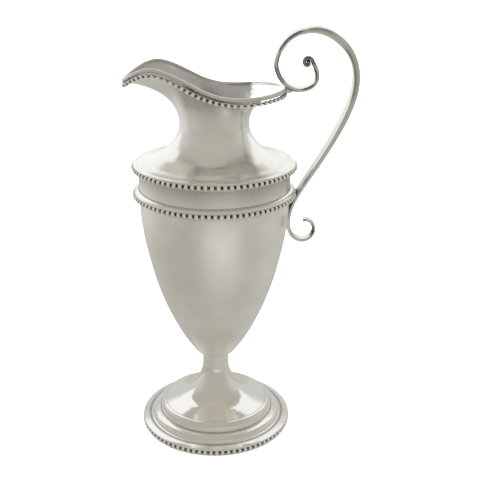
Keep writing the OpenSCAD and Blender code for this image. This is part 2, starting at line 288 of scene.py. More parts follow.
# Creases of the stepped foot plate: in from the foot ring's rim, from the axis, and up from the plate's foot.
FLANGE_CREASE_IN, FLANGE_CREASE_UP = 5 * MM, 2.2 * MM
STEP_CREASE_R, STEP_CREASE_UP = 45.6 * MM, 7.15 * MM
DOME_CREASE_UP = MM


def crease_list():
    """Rings (r, z, reach, depth of tarnish and painted shade) where two spun pieces meet in a crease, from
    the frame.
    """
    band_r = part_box("plain_band")[1].x
    low, high = (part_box("lower_girdle")[k].z for k in (0, 1))
    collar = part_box("upper_girdle")[0].z
    shoulder_r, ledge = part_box("shoulder")[1].x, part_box("shoulder")[0].z
    flange_r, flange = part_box("foot_ring")[1].x - FLANGE_CREASE_IN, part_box("foot_plate")[0].z
    dome_r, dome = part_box("pedestal")[1].x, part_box("pedestal")[0].z
    return [
        (band_r, low, 0.6 * MM, 1.0),
        (band_r, high, 0.6 * MM, 1.0),
        (band_r, collar, 0.7 * MM, 1.0),
        (shoulder_r, ledge, 0.6 * MM, 0.9),
        (flange_r, flange + FLANGE_CREASE_UP, 0.9 * MM, 0.9),
        (STEP_CREASE_R, flange + STEP_CREASE_UP, 0.8 * MM, 0.7),
        (dome_r, dome + DOME_CREASE_UP, 0.4 * MM, 0.2),
    ]


def crease_shade(r, z):
    """Tarnish and painted shade in the creases at a point of a spun piece, from 0 to 1."""
    return min(1.0, sum(deep * math.exp(-((r - cr) ** 2 + (z - cz) ** 2) / reach ** 2)
                        for cr, cz, reach, deep in CREASES))


CREASES = crease_list()


# ---------- beading ----------

# Rails of a beaded wire, in bead radii: behind the bead circle, off its middle, and their own radius.
RAIL_BACK, RAIL_UP, RAIL_R = 0.12, 0.84, 0.2
# Tarnish and painted shade on the rails, in the creases above and below the beads
RAIL_TARNISH_SHADE = 0.4
# The dark wire behind round rows paints the shade in the hollows between the beads. In bead radii: half its
# height, and its front behind the bead circle.
WIRE_HALF, WIRE_FRONT = 0.64, 0.42
BEAD_SIZES = (-0.05, 0.02)   # how far a bead's width and height stray from the radius, as shares
BEAD_SUNK, BEAD_STRAY = 0.06, 0.05    # most that a bead sits too deep, and too high or low, in mm
BETWEEN_GAIN, BETWEEN_FROM = 2.2, 1.1        # painted shade where a bead faces its neighbours


def bead_mesh(sides=18, rings=10):
    """Points and faces of one bead of radius 1, with its poles along Z."""
    points = [(0, 0, 1)]
    for i in range(1, rings):
        a = math.pi * i / rings
        for k in range(sides):
            b = 2 * math.pi * k / sides
            points.append((math.sin(a) * math.cos(b), math.sin(a) * math.sin(b), math.cos(a)))
    points.append((0, 0, -1))
    last = len(points) - 1
    faces = [(0, 1 + k, 1 + (k + 1) % sides) for k in range(sides)]
    for i in range(rings - 2):
        for k in range(sides):
            m = (k + 1) % sides
            a, b = 1 + i * sides, 1 + (i + 1) * sides
            faces.append((a + k, b + k, b + m, a + m))
    start = 1 + (rings - 2) * sides
    faces += [(last, start + (k + 1) % sides, start + k) for k in range(sides)]
    return np.array(points), faces


def beading(name, node, centres, along, out, radius, wire, wire_faces, rails):
    """A row of slightly uneven beads between two rails, on a dark wire of painted shade."""
    one, one_faces = bead_mesh()
    # Painted shade on each bead's sides where it faces its neighbours
    between = np.clip(np.abs(one[:, 0]) * BETWEEN_GAIN - BETWEEN_FROM, 0, 1)
    points, faces, shade = [wire], list(wire_faces), [np.ones(len(wire))]
    start = len(wire)
    for rail, rail_faces in rails:
        points.append(rail)
        faces += [tuple(start + i for i in f) for f in rail_faces]
        shade.append(np.full(len(rail), RAIL_TARNISH_SHADE))
        start += len(rail)
    for c, t, o in zip(centres, along, out):
        up = np.cross(t, o)
        wide, tall = radius * (1 + rng.uniform(*BEAD_SIZES, 2))
        at = c + o * rng.uniform(-BEAD_SUNK, 0) * MM + up * rng.uniform(-BEAD_STRAY, BEAD_STRAY) * MM
        points.append(at + np.outer(one[:, 0] * wide, t) + np.outer(one[:, 1] * radius, o)
                      + np.outer(one[:, 2] * tall, up))
        shade.append(between)
        faces += [tuple(start + i for i in f) for f in one_faces]
        start += len(one)
    slots = [1] * len(wire_faces) + [0] * (len(faces) - len(wire_faces))
    return piece(name, np.vstack(points), faces, [BEAD_SILVER, HOLLOW_SHADE], node,
                 np.concatenate(shade), slots)


def tube(line, radius, sides=8):
    """A closed tube along a closed line, as points and faces."""
    ahead = unit(np.roll(line, -1, 0) - np.roll(line, 1, 0))
    level = unit(np.cross(ahead, [0, 0, 1.0]))
    up = np.cross(level, ahead)
    a = np.arange(sides) * 2 * math.pi / sides
    points = (line[:, None, :] + radius * (np.cos(a)[None, :, None] * level[:, None, :]
                                           + np.sin(a)[None, :, None] * up[:, None, :]))
    return points.reshape(-1, 3), loop_faces(len(line), sides)


def rails_along(line, out, radius):
    """The two thin rails above and below a row of beads, along the line through the beads."""
    ahead = unit(np.roll(line, -1, 0) - np.roll(line, 1, 0))
    up = np.cross(ahead, out)
    return [tube(line - RAIL_BACK * radius * out + side * RAIL_UP * radius * up, RAIL_R * radius)
            for side in (-1, 1)]


def round_beading(name, node, count):
    """The beads of a foot or girdle, placed by their CAD node's box."""
    low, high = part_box(node)
    radius = (high.z - low.z) / 2
    circle, z = high.x - radius, (high.z + low.z) / 2
    a = np.arange(count) * 2 * math.pi / count
    out = np.column_stack([np.cos(a), np.sin(a), np.zeros(count)])
    along = np.column_stack([-np.sin(a), np.cos(a), np.zeros(count)])
    b = np.arange(ROUND_STEPS) * 2 * math.pi / ROUND_STEPS
    back, front, half = circle - radius, circle - WIRE_FRONT * radius, WIRE_HALF * radius
    strip = [(back, -half), (front, -half), (front, half), (back, half)]
    wire = np.array([(r * math.cos(q), r * math.sin(q), z + dz) for q in b for r, dz in strip])
    ring = np.column_stack([np.cos(b), np.sin(b), np.zeros(ROUND_STEPS)])
    rails = rails_along(ring * circle + [0, 0, z], ring, radius)
    return beading(name, node, out * circle + [0, 0, z], along, out, radius, wire,
                   loop_faces(ROUND_STEPS, len(strip)), rails)


# ---------- rim and lip ----------

# Half of the rim's upper edge, spout tip to back, as in the part: x, half width, height in mm.
RIM_HALF = [
    (-66.4, 0, 283.4), (-64.2, 6.2, 284.9), (-58.5, 13, 289.0), (-50.5, 19, 292.8),
    (-42, 22.6, 294.0), (-32, 24.1, 291.3), (-20, 24.2, 285.9), (-8, 25.4, 279.9),
    (4, 28.6, 276.1), (16, 31.2, 275.0), (27.5, 30.8, 275.4), (38.5, 25.6, 276.2),
    (47, 16.6, 277.0), (51.2, 7.5, 277.3), (52.2, 0, 277.3),
]
RIM_STEPS = 12
LIP_ROWS = 36
FIRST_ROW = 0.002            # share of the lip's side up to an extra row, which keeps the neck's shading true
# Bezier curve of the lip's side: its second point's share up, its third's share out, and down from the top.
LIP_UP, LIP_OUT, LIP_DOWN = 0.5, 0.33, 0.1
# Height and thickness of the strip that edges the rim, 4 mm high in the part, and the sheet's thickness.
BAND_H, BAND_T, WALL = 3.0 * MM, 1.0 * MM, 1.0 * MM
# Round the band from its foot: shares of its thickness and of its height down, and painted shade, a shadow
# line at its foot and darker over its outer face.
BAND_SECTION = [
    (0.02, 1, 1.0), (0.45, 1, 0.95), (0.72, 0.96, 0.8), (0.86, 0.88, 0.5), (0.94, 0.7, 0.3), (1, 0.45, 0.22),
    (0.98, 0.25, 0.2), (0.92, 0.12, 0.15), (0.75, 0.04, 0.0), (0.5, 0, 0.0), (0.02, 0, 0.0),
]
EDGE = 0.3 * MM              # rounding of the sheet's edge at the rim
LIP_STAIN_SHADE = 0.45             # tarnish and painted shade under the rim, outside
LIP_STAIN_SHADE_Z, LIP_STAIN_SHADE_RISE = 252 * MM, 16 * MM      # height where it starts, and over which it deepens
SPOUT_CLEAN_X, SPOUT_FADE = -50 * MM, 25 * MM        # the spout's tip is free of it
SHADE_FILM_END = 28 * MM           # how far towards the handle the dull film and painted shade inside the lip go

RIM_BEADS = 68
RIM_BEAD_R = 1.75 * MM
RIM_BEAD_GAP, RIM_BEAD_LIFT = 0.15 * MM, 0.02 * MM   # clear of the band above, and of the lip's side
BEADS_OUT = 0.6              # lean of the beads, from along the lip's side towards straight under the band
DROP, DROP_X, DROP_LENGTH = 1.2 * MM, -15, 15        # how far they sag behind the spout; where, in mm
RIM_WIRE_BACK, RIM_WIRE_R = 0.35, 0.42               # the dark wire of painted shade behind them, in bead radii


def rim_line():
    """The rim's upper edge as a fine closed line."""
    keys = RIM_HALF + [(x, -y, z) for x, y, z in RIM_HALF[-2:0:-1]]
    return catmull(np.array(keys) * MM, RIM_STEPS, closed=True)


def rim_outward(rim):
    """Level direction away from the mouth at each rim point."""
    t = np.roll(rim, -1, 0) - np.roll(rim, 1, 0)
    return unit(np.column_stack([-t[:, 1], t[:, 0], np.zeros(len(rim))]))


def lip_sides(rim):
    """Side of the lip under every rim point, as (distance from the axis, z) rows from neck to band."""
    neck_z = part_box("lip")[0].z
    top_ring = [v.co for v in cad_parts["shoulder"].data.vertices if v.co.z > neck_z - SAME_HEIGHT]
    neck_r = max(math.hypot(p.x, p.y) for p in top_ring)
    reach = np.hypot(rim[:, 0], rim[:, 1])
    top = rim[:, 2] - BAND_H
    rise = top - neck_z
    a = np.column_stack([np.full_like(reach, neck_r), np.full_like(reach, neck_z)])
    b = np.column_stack([np.full_like(reach, neck_r), neck_z + LIP_UP * rise])
    c = np.column_stack([neck_r + LIP_OUT * (reach - neck_r), top - LIP_DOWN * rise])
    d = np.column_stack([reach, top])
    t = np.concatenate([[0, FIRST_ROW], np.linspace(0, 1, LIP_ROWS + 1)[1:]])[None, :, None]
    a, b, c, d = (q[:, None, :] for q in (a, b, c, d))
    return (1 - t) ** 3 * a + 3 * (1 - t) ** 2 * t * b + 3 * (1 - t) * t ** 2 * c + t ** 3 * d


def placed(rim, sides):
    """Rows of (distance, z) turned out to their rim point's direction."""
    flat = unit(rim * [1, 1, 0])
    return sides[..., :1] * flat[:, None, :] + sides[..., 1:] * np.array([0, 0, 1.0])


def grid_normals(grid):
    """Outward normals of a grid of points, closed along its first axis."""
    along = np.roll(grid, 1, 0) - np.roll(grid, -1, 0)
    up = np.gradient(grid, axis=1)
    return unit(np.cross(along, up))


def lip_collar(rim):
    """The upright edge of the lip's sheet behind the band, from its outside over the top to its inside."""
    e = EDGE
    section = [(0, -0.9 * BAND_H), (0, -2 * e), (0, -e), (-0.3 * e, -0.3 * e), (-e, 0), (-WALL + e, 0),
               (-WALL + 0.3 * e, -0.3 * e), (-WALL, -e), (-WALL, -2 * e), (-WALL, -0.6 * BAND_H)]
    out = rim_outward(rim)
    return np.stack([rim + o * out + [0, 0, z] for o, z in section], axis=1)


INSIDE_FROM = 7              # ring of the collar's section at which the inside of the lip starts
INSIDE_UP = 0.35             # lift of the inside's last row towards the collar, in wall thicknesses


def lip_piece(rim):
    """The lip's sheet, with its two sides, tarnish and painted shade outside under the rim, and inside a dull
    film with painted shade and a painted highlight.
    """
    out = rim_outward(rim)
    outside = placed(rim, lip_sides(rim))
    normal = grid_normals(outside)
    normal[:, 0] = unit(rim * [1, 1, 0])
    inside = outside - WALL * normal
    blend = unit(normal[:, -1] + out)
    inside[:, -1] = outside[:, -1] - WALL * blend + [0, 0, INSIDE_UP * WALL]
    grid = np.concatenate([outside, lip_collar(rim), inside[:, ::-1]], axis=1)
    rows = outside.shape[1]
    # Tarnish and painted shade outside under the rim, deepening upwards, kept off the spout's tip
    under = np.clip((outside[..., 2] - LIP_STAIN_SHADE_Z) / LIP_STAIN_SHADE_RISE, 0, 1) ** 2
    shade = np.zeros(grid.shape[:2])
    shade[:, :rows] = LIP_STAIN_SHADE * under * np.clip((rim[:, :1] - SPOUT_CLEAN_X) / SPOUT_FADE, 0, 1)
    inner = np.zeros(grid.shape[:2], int)
    inner[:, rows + INSIDE_FROM:-1] = 1
    return piece("lip_shell", grid.reshape(-1, 3), loop_faces(len(rim), grid.shape[1]),
                 [BODY_SILVER, MOUTH_SILVER], "lip",
                 shade.reshape(-1), inner.reshape(-1))


def rim_band_piece(rim):
    """The strip that edges the rim, with a painted shadow at its foot and painted shade over its outer face.
    """
    out = rim_outward(rim)
    grid = np.stack([rim + o * BAND_T * out - [0, 0, down * BAND_H] for o, down, _ in BAND_SECTION], axis=1)
    shade = np.tile([dark for _, _, dark in BAND_SECTION], len(rim))
    return piece("rim_edging", grid.reshape(-1, 3), loop_faces(len(rim), len(BAND_SECTION)),
                 BODY_SILVER, "rim_band", shade)


def rim_bead_line(rim):
    """Line through the centres of the rim's beads, and the outward direction there."""
    sides = lip_sides(rim)[:, ::-1]
    sag = DROP * np.exp(-((rim[:, 0] / MM - DROP_X) / DROP_LENGTH) ** 2)
    down = RIM_BEAD_R + RIM_BEAD_GAP + sag
    seats, away = [], []
    for side, d, station in zip(sides, down, unit(rim * [1, 1, 0])):
        at = np.array([np.interp(d, run_of(side), side[:, k]) for k in (0, 1)])
        t = unit(at - side[0])
        n = unit(np.array([-t[1], t[0]]) + [BEADS_OUT, 0])
        below = side[0] - [0, d]
        r, z = (at + BEADS_OUT * below) / (1 + BEADS_OUT) + (RIM_BEAD_R + RIM_BEAD_LIFT) * n
        seats.append(r * station + [0, 0, z])
        away.append(n[0] * station + [0, 0, n[1]])
    return np.array(seats), np.array(away)


def rim_beading_piece(rim):
    """The beads under the rim's band, with a dark wire of painted shade and rails four times as finely
    divided.
    """
    fine = 4
    dense = evenly(np.hstack(rim_bead_line(rim)), RIM_BEADS * fine)
    line, away = dense[:, :3], unit(dense[:, 3:])
    along = unit(np.roll(line, -1, 0) - np.roll(line, 1, 0))[::fine]
    outward = away[::fine]
    outward = unit(outward - (outward * along).sum(1, keepdims=True) * along)
    wire, wire_faces = tube(line - RIM_WIRE_BACK * RIM_BEAD_R * away, RIM_WIRE_R * RIM_BEAD_R)
    return beading("rim_beads", "rim_beading", line[::fine], along, outward, RIM_BEAD_R, wire, wire_faces,
                   rails_along(line, away, RIM_BEAD_R))


# ---------- handle ----------

STRAP_W, STRAP_T = 16 * MM, 5.5 * MM
STRAP_STEPS = 10
# Centre line of the strap after its curl, as in the part: x, z in mm, shares of width and thickness.
STRAP_LINE = [
    (73.9, 291.4, 0.62, 0.6), (75.1, 286.8, 0.68, 0.56), (74.3, 281.9, 0.78, 0.49),
    (71.0, 278.2, 0.82, 0.47), (65.8, 276.2, 0.84, 0.49), (60.2, 276.0, 0.85, 0.51),
    (54.6, 278.2, 0.86, 0.54), (50.0, 282.3, 0.88, 0.55), (46.7, 287.7, 0.9, 0.58),
    (45.1, 294.4, 0.92, 0.58), (46.4, 301.1, 0.94, 0.55), (49.7, 307.3, 0.96, 0.51),
    (54.5, 312.8, 0.98, 0.53), (60.6, 316.5, 1, 0.56), (67.5, 318.4, 1, 0.65),
    (75.1, 318.6, 1, 0.82), (83.4, 316.1, 1, 0.93), (91.0, 311.1, 1, 1),
    (97.7, 304.0, 1, 0.91), (102.1, 295.0, 1, 0.8), (103.6, 285.4, 1, 0.76),
    (103.1, 275.6, 1, 0.76), (100.5, 265.6, 1, 0.75), (96.3, 254.6, 1, 0.71),
    (90.2, 242.1, 0.98, 0.67), (83.3, 229.6, 0.94, 0.64), (75.8, 217.0, 0.88, 0.62),
    (68.1, 204.7, 0.8, 0.6), (61.8, 193.6, 0.73, 0.59), (58.1, 184.4, 0.66, 0.58),
    (56.5, 175.6, 0.62, 0.56), (57.2, 167.4, 0.58, 0.53), (60.7, 161.4, 0.53, 0.47),
    (67.0, 158.6, 0.5, 0.44), (73.3, 160.7, 0.48, 0.45), (76.6, 166.6, 0.46, 0.45),
    (74.9, 172.4, 0.45, 0.44), (71.1, 174.9, 0.44, 0.38), (67.8, 174.8, 0.43, 0.31),
]
# The curl at the strap's tip, in mm and degrees: its middle, its innermost radius and how far it opens.
CURL_X, CURL_Z, CURL_CORE, CURL_OPENS = 68, 295.2, 0.3, 3.7
CURL_TURN, CURL_STEP, CURL_POWER = 480, 30, 1.15
CURL_WIDTH, CURL_THIN, CURL_GROWS = 0.5, 0.34, 0.14  # shares of width; of thickness at its middle, and added
STRAP_CORNER, STRAP_CROWN = 0.9 * MM, 0.05           # largest corner radius; crown as a share of the size

# Tarnish and painted shade on the strap, painted shade in the curl and the scroll and painted shadow where it
# meets the rim: from key, to key, side (1 towards the grip's loop, -1 away), on the face, on its edge. Keys
# count from the first point after the curl.
STAINS_AND_SHADE = [
    (-18, -0.2, 1, 0.95, 1.0), (-18, -0.2, -1, 0.8, 1.0), (-0.6, 2.2, 1, 0.25, 0.95),
    (2.0, 4.6, 1, 0, 0.9), (4.6, 6.6, -1, 0.8, 0.85), (6.4, 9.2, -1, 0.8, 0.95), (6.6, 10.6, 1, 0.2, 0.7),
    (10.2, 13.8, -1, 0.1, 1.0), (13.6, 16.5, -1, 0.1, 0.45), (17.2, 22, 1, 0.0, 0.55),
    (26.4, 27.2, 1, 0.2, 0.8), (27.2, 30.2, 1, 0.95, 1.0), (34.1, 36.3, -1, 1.0, 1.7),
    (36.9, 39, 1, 0.2, 0.8), (37.2, 39, -1, 0.7, 0.9),
]
PATCH_FADE = 0.6             # keys over which a patch of tarnish and painted shade comes and goes
FILM = 0.1                   # tarnish all over the strap's two flat sides
SIDE_FROM, FILM_TO = 0.88, 0.9       # shares of half the width and thickness where sides start and film ends
# Where a stain starts across the thickness, and over what share of half of it it deepens.
ON_SIDE, ON_FACE = (-0.15, 0.7), (0.6, 0.4)


def tarnish_shade_at(at, q, y, a, b):
    """Tarnish and painted shade at a spot of the strap's section, q across and y along its width, at a key.

    Half the width is a and half the thickness is b.
    """
    on_side = abs(y) > SIDE_FROM * a
    total = FILM if on_side and abs(q) < FILM_TO * b else 0.0
    begin, over = ON_SIDE if on_side else ON_FACE
    for start, end, side, face, edge in STAINS_AND_SHADE:
        fade = min(1.0, max(0.0, min(at - start, end - at) / PATCH_FADE))
        reach = min(1.0, max(0.0, (side * q / b - begin) / over))
        total += fade * reach * (edge if on_side else face)
    return min(total, 1.0)


def strap_keys():
    """The curl at the tip, wound out from its middle, and then the strap's own points."""
    curl = []
    for turn in range(CURL_TURN, -1, -CURL_STEP):
        share = 1 - turn / CURL_TURN
        r = CURL_CORE + CURL_OPENS * share ** CURL_POWER
        a = math.radians(turn)
        thick = CURL_THIN + CURL_GROWS * share
        curl.append((CURL_X + r * math.cos(a), CURL_Z + r * math.sin(a), CURL_WIDTH, thick))
    return np.array(curl + STRAP_LINE)


def strap_section(width, thick):
    """Closed section of the strap: crowned faces and eased corners, as (across, along Y)."""
    corner = min(0.3 * thick, STRAP_CORNER)
    crown = STRAP_CROWN * thick
    a, b = width / 2, thick / 2
    spots = []
    for sx, sy, start in ((1, 1, 0), (-1, 1, 90), (-1, -1, 180), (1, -1, 270)):
        for k in range(4):
            q = math.radians(start + 30 * k)
            spots.append((sy * (b - corner) + corner * math.sin(q), sx * (a - corner) + corner * math.cos(q)))
        y_share = (0.6, 0.0, -0.6)
        if sx * sy > 0:
            spots += [(sy * b + sy * crown * (1 - s * s), sx * s * (a - corner)) for s in y_share]
        else:
            spots += [(sy * s * (b - corner), sx * a + sx * crown * (1 - s * s)) for s in y_share]
    return spots


# How far the strap's seat stands off the girdle's beads, and over what height it fades below and above them.
SEAT_CLEAR, SEAT_BELOW, SEAT_ABOVE = 0.02 * MM, 1.5 * MM, 3 * MM


def seat_radius(z):
    """Distance from the axis at which the strap is filed to sit on the bowl and the lower girdle."""
    low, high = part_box("lower_beading")
    bowl_r = np.interp(z, BOWL_SIDE[:, 1], BOWL_SIDE[:, 0])
    girdle_r = high.x + SEAT_CLEAR
    girdle_z = (low.z - SEAT_BELOW, low.z, high.z, high.z + SEAT_ABOVE)
    return np.maximum(bowl_r, np.interp(z, girdle_z, (0, girdle_r, girdle_r, 0)))


def handle_piece():
    """The strap, swept along its line, filed where it sits, with its tarnish and painted shade."""
    path = catmull(strap_keys(), STRAP_STEPS)
    here = path[:, :2] * MM
    ahead = unit(np.gradient(here, axis=0))
    across = np.column_stack([ahead[:, 1], -ahead[:, 0]])
    rows, shade = [], []
    curl_keys = CURL_TURN // CURL_STEP + 1
    for i, (p, n, w, t) in enumerate(zip(here, across, path[:, 2] * STRAP_W, path[:, 3] * STRAP_T)):
        section = strap_section(w, t)
        rows.append([(p[0] + q * n[0], y, p[1] + q * n[1]) for q, y in section])
        shade.append([tarnish_shade_at(i / STRAP_STEPS - curl_keys, q, y, w / 2, t / 2) for q, y in section])
    grid = filed(np.array(rows))
    sides = grid.shape[1]
    faces = loop_faces(len(grid), sides, close_rings=False)
    faces += [tuple(range(sides)), tuple((len(grid) - 1) * sides + k for k in range(sides))]
    return piece("handle_strap", grid.reshape(-1, 3), faces, CAST_SILVER, "handle",
                 np.array(shade).reshape(-1))


def filed(grid):
    """Strap points that reach into the bowl or girdle, brought out to the seat."""
    r = np.hypot(grid[..., 0], grid[..., 1])
    seat = seat_radius(grid[..., 2])
    push = np.where((r < seat) & (grid[..., 2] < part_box("lower_girdle")[1].z + MM), seat / r, 1)
    grid[..., 0] *= push
    grid[..., 1] *= push
    return grid


LUG_MERGE, LUG_EDGE = 0.02 * MM, 0.35 * MM
LUG_FLAT = math.radians(3)


def lug_piece():
    """The small soldered block between the curl and the rim, with its edges rounded."""
    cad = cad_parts["rim_lug"]
    shape = bmesh.new()
    shape.from_mesh(cad.data)
    bmesh.ops.remove_doubles(shape, verts=shape.verts, dist=LUG_MERGE)
    bmesh.ops.dissolve_limit(shape, angle_limit=LUG_FLAT, verts=shape.verts, edges=shape.edges)
    bmesh.ops.bevel(shape, geom=shape.edges[:], offset=LUG_EDGE, segments=3, affect="EDGES",
                    clamp_overlap=True, profile=0.5)
    shape.verts.ensure_lookup_table()
    points = [v.co.copy() for v in shape.verts]
    faces = [[v.index for v in f.verts] for f in shape.faces]
    shape.free()
    return piece("rim_lug_block", points, faces, CAST_SILVER, "rim_lug")


# ---------- materials ----------

class Nodes:
    """Short names for building a node tree."""

    def __init__(self, owner, coordinates="Object"):
        owner.use_nodes = True
        self.owner = owner
        self.tree = owner.node_tree
        self.place = self.add("ShaderNodeTexCoord").outputs[coordinates]

    def split(self):
        """The X, Y and Z of the place."""
        s = self.add("ShaderNodeSeparateXYZ")
        self.link(self.place, s.inputs["Vector"])
        return s.outputs["X"], s.outputs["Y"], s.outputs["Z"]

    def add(self, kind, **values):
        """A new node with these settings."""
        node = self.tree.nodes.new(kind)
        for key, value in values.items():
            setattr(node, key, value)
        return node

    def link(self, a, b):
        """Joins two sockets."""
        self.tree.links.new(a, b)

    def noise(self, scale, detail=3, rough=0.5, stretch=(1, 1, 1)):
        """Noise over the object's own metres, stretched along an axis if asked."""
        mapping = self.add("ShaderNodeMapping")
        mapping.inputs["Scale"].default_value = stretch
        self.link(self.place, mapping.inputs["Vector"])
        n = self.add("ShaderNodeTexNoise")
        n.inputs["Scale"].default_value = scale
        n.inputs["Detail"].default_value = detail
        n.inputs["Roughness"].default_value = rough
        self.link(mapping.outputs["Vector"], n.inputs["Vector"])
        return n.outputs["Fac"]

    def ramp(self, factor, low, high, start, end):
        """A colour that goes from start to end while the factor goes from low to high."""
        r = self.add("ShaderNodeValToRGB")
        r.color_ramp.elements[0].position = low
        r.color_ramp.elements[1].position = high
        r.color_ramp.elements[0].color = (*start, 1)
        r.color_ramp.elements[1].color = (*end, 1)
        self.link(factor, r.inputs["Fac"])
        return r.outputs["Color"]

    def range(self, factor, low, high):
        """A number that goes from low to high with the factor."""
        m = self.add("ShaderNodeMapRange")
        m.inputs["To Min"].default_value = low
        m.inputs["To Max"].default_value = high
        self.link(factor, m.inputs["Value"])
        return m.outputs["Result"]

    def mix(self, factor, a, b):
        """Mix of two colours, each given or linked."""
        m = self.add("ShaderNodeMix", data_type="RGBA")
        self.link(factor, m.inputs["Factor"])
        for socket, value in ((m.inputs[6], a), (m.inputs[7], b)):
            if isinstance(value, tuple):
                socket.default_value = (*value, 1)
            else:
                self.link(value, socket)
        return m.outputs[2]

    def blend(self, factor, a, b):
        """Mix of two numbers, each given or linked."""
        m = self.add("ShaderNodeMix", data_type="FLOAT")
        self.link(factor, m.inputs["Factor"])
        for socket, value in ((m.inputs[2], a), (m.inputs[3], b)):
            if isinstance(value, float):
                socket.default_value = value
            else:
                self.link(value, socket)
        return m.outputs[0]

    def smooth(self, value, low, high, start, end):
        """A number that eases from start to end while the value goes from low to high."""
        m = self.add("ShaderNodeMapRange", interpolation_type="SMOOTHSTEP")
        for socket, number in zip(("From Min", "From Max", "To Min", "To Max"), (low, high, start, end)):
            m.inputs[socket].default_value = number
        self.link(value, m.inputs["Value"])
        return m.outputs["Result"]

    def sum(self, *values, operation="ADD"):
        """The numbers added up, or joined by another operation."""
        total = values[0]
        for value in values[1:]:
            m = self.add("ShaderNodeMath", operation=operation)
            self.link(total, m.inputs[0])
            self.link(value, m.inputs[1])
            total = m.outputs["Value"]
        return total

    def product(self, *values):
        """The numbers multiplied."""
        return self.sum(*values, operation="MULTIPLY")

    def bump(self, height, distance, strength, under=None):
        """A normal tilted by the height, on top of another one if given."""
        b = self.add("ShaderNodeBump")
        b.inputs["Distance"].default_value = distance
        b.inputs["Strength"].default_value = strength
        self.link(height, b.inputs["Height"])
        if under is not None:
            self.link(under, b.inputs["Normal"])
        return b.outputs["Normal"]


class Finish(Nodes):
    """The node tree of a new material, with its shader."""

    def __init__(self, name):
        super().__init__(bpy.data.materials.new(name))
        self.shader = self.tree.nodes["Principled BSDF"]

    def surface(self, socket):
        """Puts another shader in the place of the usual one."""
        self.tree.nodes.remove(self.shader)
        self.link(socket, self.tree.nodes["Material Output"].inputs["Surface"])


CLEAN, WARM = (0.90, 0.89, 0.86), (0.86, 0.845, 0.80)
# Colours of tarnish, also laid as painted shade
BROWN, BLACK_BROWN = (0.10, 0.075, 0.05), (0.05, 0.038, 0.028)
DARKENED_ROUGH = 0.5          # roughness where the mask of tarnish and painted shade is full
HAMMER_DEPTH, WIPE_DEPTH = 0.8 * MM, 0.04 * MM
WIPED_ROUND = (1, 1, 0.07)   # stretch of the wipe marks' noise, long along Z


def silver(name, clean, warm, rough, hammer, tarnish_shade_colour=BROWN):
    """Polished silver: cloudy tone, soft hammering, fine wipe marks, and tarnish and painted shade where the
    mesh says.

    It is given the lowest and highest roughness, and the strength of the hammering.
    """
    n = Finish(name)
    clouds = n.range(n.noise(26, detail=4, rough=0.55), -0.25, 1.25)
    specks = n.range(n.noise(420, detail=3, rough=0.6), 0.55, 1.25)
    # The mesh's tarnish and painted shade, broken up by fine specks
    tarnish_shade_mask = n.add("ShaderNodeAttribute", attribute_name="tarnish_and_shade").outputs["Fac"]
    tarnish_and_shade = n.blend(tarnish_shade_mask, 0.0, specks)
    n.link(n.mix(tarnish_and_shade, n.mix(clouds, clean, warm), tarnish_shade_colour), n.shader.inputs["Base Color"])
    polish = n.range(n.noise(55, detail=5, rough=0.65), *rough)
    n.link(n.blend(tarnish_and_shade, polish, DARKENED_ROUGH), n.shader.inputs["Roughness"])
    n.shader.inputs["Metallic"].default_value = 1.0
    beaten = n.bump(n.noise(62, detail=1.5, rough=0.4), HAMMER_DEPTH, hammer)
    fine = n.noise(900, detail=2, rough=0.5, stretch=WIPED_ROUND)
    wiped = n.bump(fine, WIPE_DEPTH, strength=0.35, under=beaten)
    n.link(wiped, n.shader.inputs["Normal"])
    return n.owner


SHADE_FILM_RAGGED, SHADE_FILM_SOFT = 8 * MM, 0.5 * MM     # how far the film's edge wanders, and half its softness
HIGHLIGHT_METAL = 0.6         # share of bare metal in the painted highlight at the mouth's bright end; the rest is matt white


def mouth_silver():
    """The inside of the lip: an even dull film with painted shade and a ragged edge, and beyond it a bright
    end that is a painted highlight.
    """
    n = Finish("mouth_silver")
    x, _, _ = n.split()
    ragged = n.sum(x, n.range(n.noise(70, detail=3), -SHADE_FILM_RAGGED, SHADE_FILM_RAGGED))
    # The mouth's bright end: a painted highlight, matt white lit by the white light
    painted_highlight = n.smooth(ragged, SHADE_FILM_END - SHADE_FILM_SOFT, SHADE_FILM_END + SHADE_FILM_SOFT, 0.0, 1.0)
    dull_film_shade = n.mix(n.noise(34, detail=4, rough=0.6), (0.66, 0.66, 0.645), (0.58, 0.578, 0.56))
    n.link(n.mix(painted_highlight, dull_film_shade, (0.97, 0.965, 0.95)), n.shader.inputs["Base Color"])
    n.link(n.blend(painted_highlight, n.range(n.noise(60, detail=4), 0.30, 0.42), 0.12), n.shader.inputs["Roughness"])
    n.link(n.blend(painted_highlight, 1.0, HIGHLIGHT_METAL), n.shader.inputs["Metallic"])
    n.link(n.bump(n.noise(48, detail=1.5, rough=0.4), 0.6 * MM, strength=0.08), n.shader.inputs["Normal"])
    return n.owner


def hollow_shade():
    """Near-black painted shade for the hollow behind the beads."""
    n = Finish("oxidised_hollow")
    n.link(n.ramp(n.noise(700, detail=3), 0.35, 0.7, (0.02, 0.016, 0.012), (0.10, 0.085, 0.065)),
           n.shader.inputs["Base Color"])
    n.link(n.range(n.noise(500, detail=2), 0.5, 0.8), n.shader.inputs["Roughness"])
    n.shader.inputs["Metallic"].default_value = 0.6
    n.link(n.bump(n.noise(1500, detail=2), 0.1 * MM, strength=0.4), n.shader.inputs["Normal"])
    return n.owner


def floor_material():
    """Matt white paper."""
    n = Finish("studio_paper")
    n.link(n.ramp(n.noise(40, detail=4), 0.3, 0.7, (0.94, 0.94, 0.94), (0.96, 0.96, 0.96)),
           n.shader.inputs["Base Color"])
    n.shader.inputs["Roughness"].default_value = 0.9
    n.shader.inputs["Specular IOR Level"].default_value = 0.1
    return n.owner


